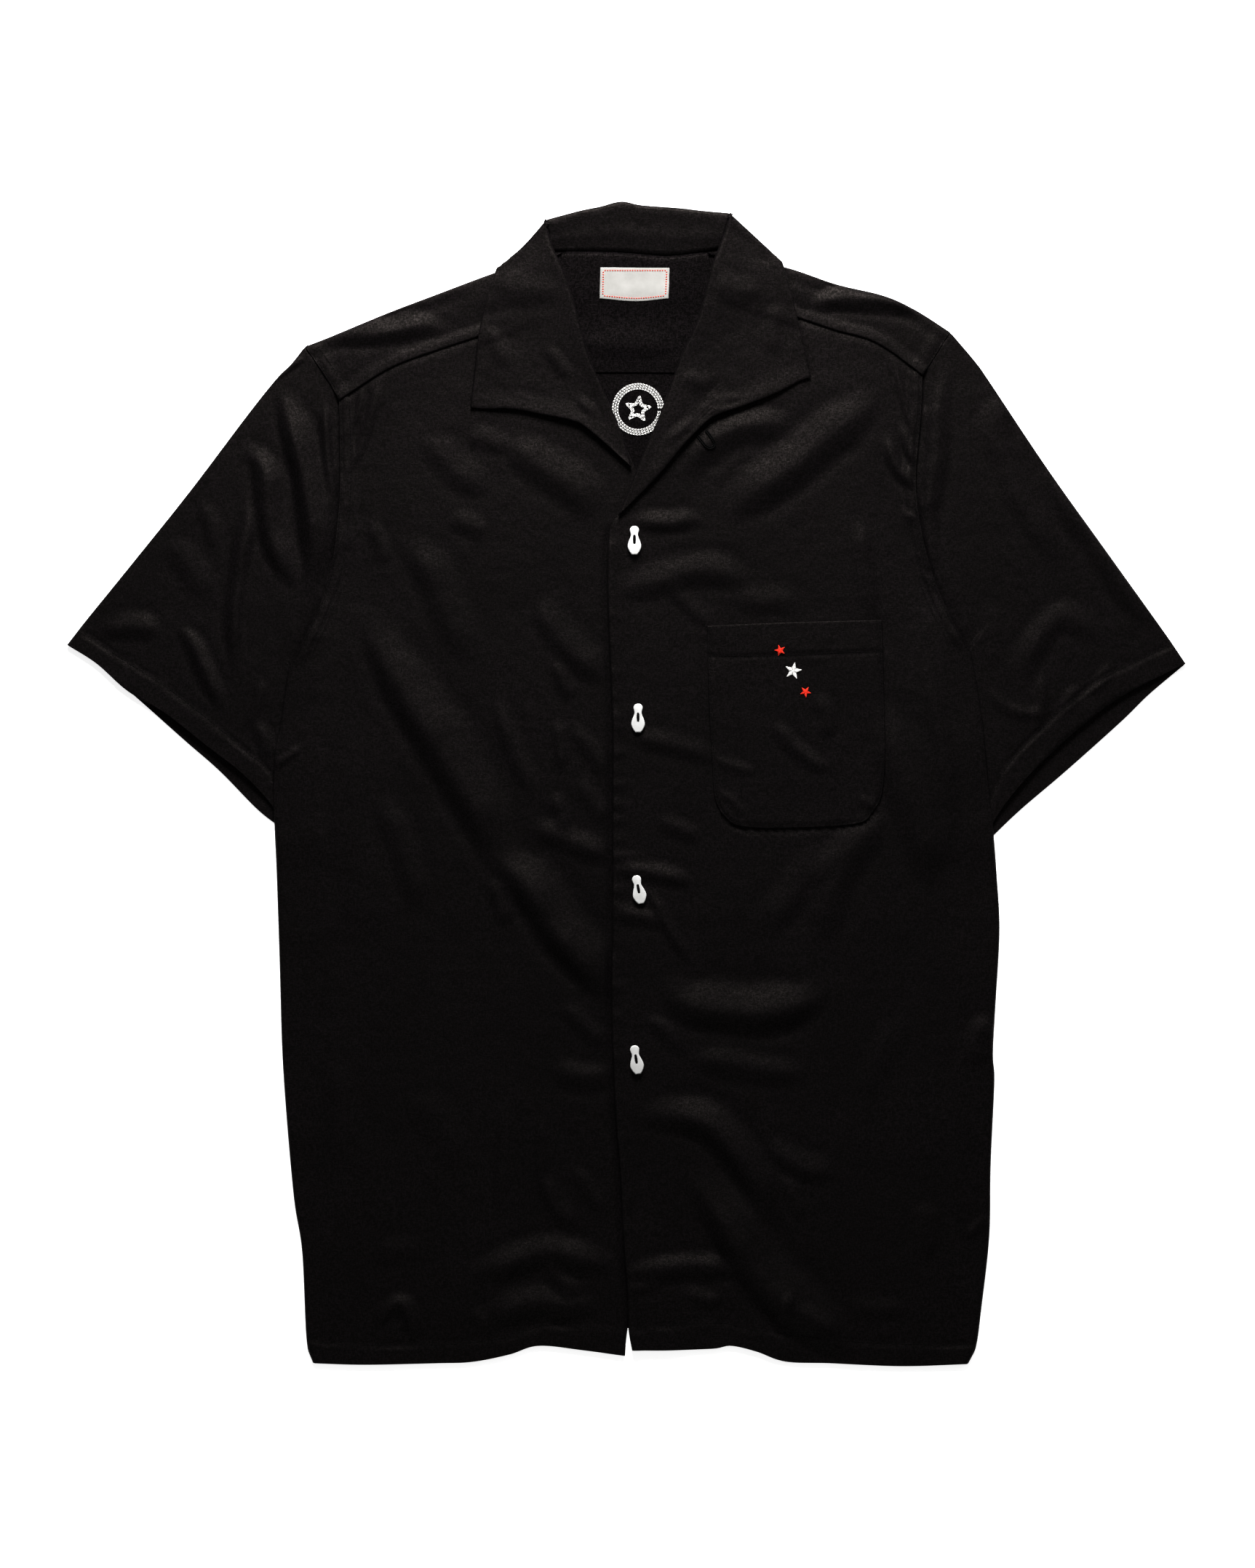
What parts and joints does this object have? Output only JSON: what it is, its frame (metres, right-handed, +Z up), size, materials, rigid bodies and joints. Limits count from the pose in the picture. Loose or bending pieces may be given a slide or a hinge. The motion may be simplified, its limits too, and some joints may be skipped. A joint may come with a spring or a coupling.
{
  "type": "bowling shirt",
  "caption": "Short-sleeved shirt with an open one-piece collar, folded yoke, chest pocket and pin-shaped buttons, buttoned and laid flat on its back.",
  "frame": {"origin": "on the surface that the shirt rests on, under the middle of its outline", "axes": "+X to the wearer's left, +Y from the hem to the collar, +Z up out of the surface, towards the front"},
  "size_m": [0.769, 0.8, 0.0097],
  "materials": {
    "cloth": "black fine plain weave with a soft sheen",
    "label_cloth": "white woven label tape",
    "button_plastic": "polished white"
  },
  "bodies": {
    "root": {"back": "cloth", "yoke": "cloth", "front_right": "cloth", "front_left": "cloth", "sleeve_right": "cloth", "sleeve_left": "cloth", "collar": "cloth", "pocket": "cloth", "neck_loop": "cloth", "label": "label_cloth", "button_1": "button_plastic", "button_2": "button_plastic", "button_3": "button_plastic", "button_4": "button_plastic"}
  },
  "joints": []
}
